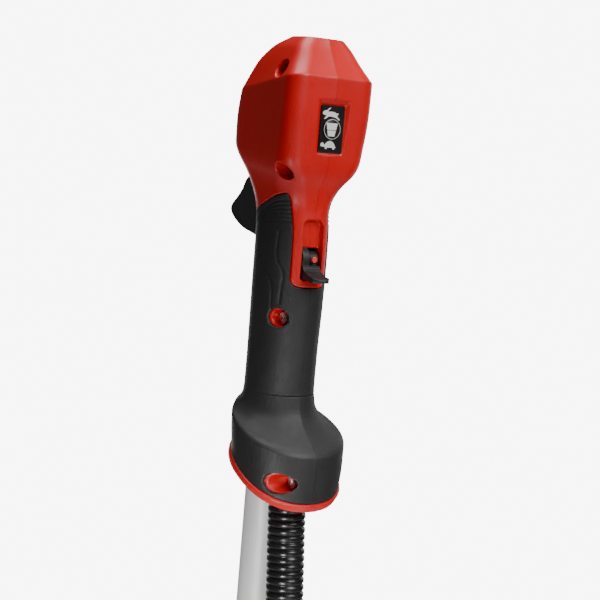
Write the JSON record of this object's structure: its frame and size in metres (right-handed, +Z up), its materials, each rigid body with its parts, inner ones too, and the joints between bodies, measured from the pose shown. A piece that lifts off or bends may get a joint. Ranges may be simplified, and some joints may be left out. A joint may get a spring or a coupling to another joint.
{
  "type": "pole drywall sander",
  "caption": "Long-reach drywall sander: pistol handle with trigger, pole with clipped dust hose, and a swivelling round sanding head under a dust shroud.",
  "frame": {"origin": "on the pole's axis, at the level of the abrasive disc's face, which is the object's lowest point and the middle of its round head", "axes": "+Z up along the pole towards the handle, -Y towards the thumb slot and the dust hose, +Y towards the trigger, +X to the side that the dust outlet leaves by"},
  "size_m": [0.246, 0.246, 1.4362],
  "materials": {
    "red_housing": "moulded, satin gloss",
    "black_rubber": "soft-touch, matte",
    "black_plastic": "fine moulded grain",
    "hose": "ribbed, semi-gloss",
    "pole_aluminium": "satin grey",
    "steel": "plain",
    "windings": "enamelled copper",
    "circuit_board": "solder mask",
    "red_mark": "gloss",
    "foam": "foam with a hook face",
    "abrasive": "coated grit",
    "bristle": "dense bristle"
  },
  "bodies": {
    "pole_handle": {"control_board": "circuit_board", "dust_hose": "hose", "dust_outlet": "black_plastic", "fork": "black_plastic", "fork_bolt": "steel", "grip_cover_left": "black_rubber", "grip_cover_right": "black_rubber", "handle_shell_left": "red_housing", "handle_shell_right": "red_housing", "hose_bellows_upper": "hose", "hose_clip_1": "black_plastic", "hose_clip_2": "black_plastic", "hose_clip_3": "black_plastic", "hose_cuff": "black_plastic", "lock_lever_pin": "steel", "pole_tube": "pole_aluminium", "power_cable": "black_rubber", "power_inlet": "black_plastic", "shell_screw_1": "steel", "shell_screw_2": "steel", "shell_screw_3": "steel", "shell_screw_4": "steel", "skirt_cover_left": "black_rubber", "skirt_cover_right": "black_rubber", "speed_panel": "black_plastic", "tact_switch": "black_plastic", "trigger_pin": "steel", "trigger_spring": "steel", "trigger_switch": "black_plastic"},
    "trigger": {"trigger": "black_plastic"},
    "lock_lever": {"lock_lever": "black_plastic", "lock_mark": "red_mark"},
    "speed_button": {"speed_button": "black_plastic"},
    "gimbal": {"gimbal_ring": "pole_aluminium", "pitch_pin_left": "steel", "pitch_pin_right": "steel", "roll_pin_front": "steel", "roll_pin_back": "steel"},
    "sanding_head": {"motor_housing": "black_plastic", "motor_cap": "red_housing", "stator": "windings", "bearing_lower": "steel", "bearing_upper": "steel", "dust_shroud": "black_plastic", "brush_ring": "bristle", "shroud_screw_1": "steel", "shroud_screw_2": "steel", "shroud_screw_3": "steel", "shroud_screw_4": "steel", "hose_bellows_lower": "hose"},
    "disc": {"rotor": "steel", "backing_plate": "black_plastic", "hook_pad": "foam", "abrasive_disc": "abrasive", "pad_screw": "steel"}
  },
  "joints": [
    {"name": "trigger_squeeze", "type": "hinge", "parent": "pole_handle", "child": "trigger", "pos_m": [0, 0.0205, 1.359], "axis": [-1, 0, 0], "range_deg": [0, 10], "stiffness_Nm_per_rad": 0.8, "springref_deg": -11.46, "deforming": ["trigger_spring"]},
    {"name": "lock_lever_swing", "type": "hinge", "parent": "pole_handle", "child": "lock_lever", "pos_m": [0, -0.0225, 1.302], "axis": [-1, 0, 0], "range_deg": [0, 25], "stiffness_Nm_per_rad": 0.06, "springref_deg": -11.46},
    {"name": "speed_button_press", "type": "slide", "parent": "pole_handle", "child": "speed_button", "axis": [0, 1, 0], "range_m": [0, 0.0008], "stiffness_N_per_m": 500, "springref_m": -0.0008},
    {"name": "head_pitch", "type": "hinge", "parent": "pole_handle", "child": "gimbal", "pos_m": [0, 0, 0.082], "axis": [1, 0, 0], "range_deg": [-45, 45], "deforming": ["hose_bellows_upper", "hose_bellows_lower"]},
    {"name": "head_roll", "type": "hinge", "parent": "gimbal", "child": "sanding_head", "pos_m": [0, 0, 0.082], "axis": [0, 1, 0], "range_deg": [-22, 22], "deforming": ["hose_bellows_upper", "hose_bellows_lower"]},
    {"name": "disc_spin", "type": "hinge", "parent": "sanding_head", "child": "disc", "pos_m": [0, 0, 0.01], "axis": [0, 0, 1], "continuous": true}
  ]
}
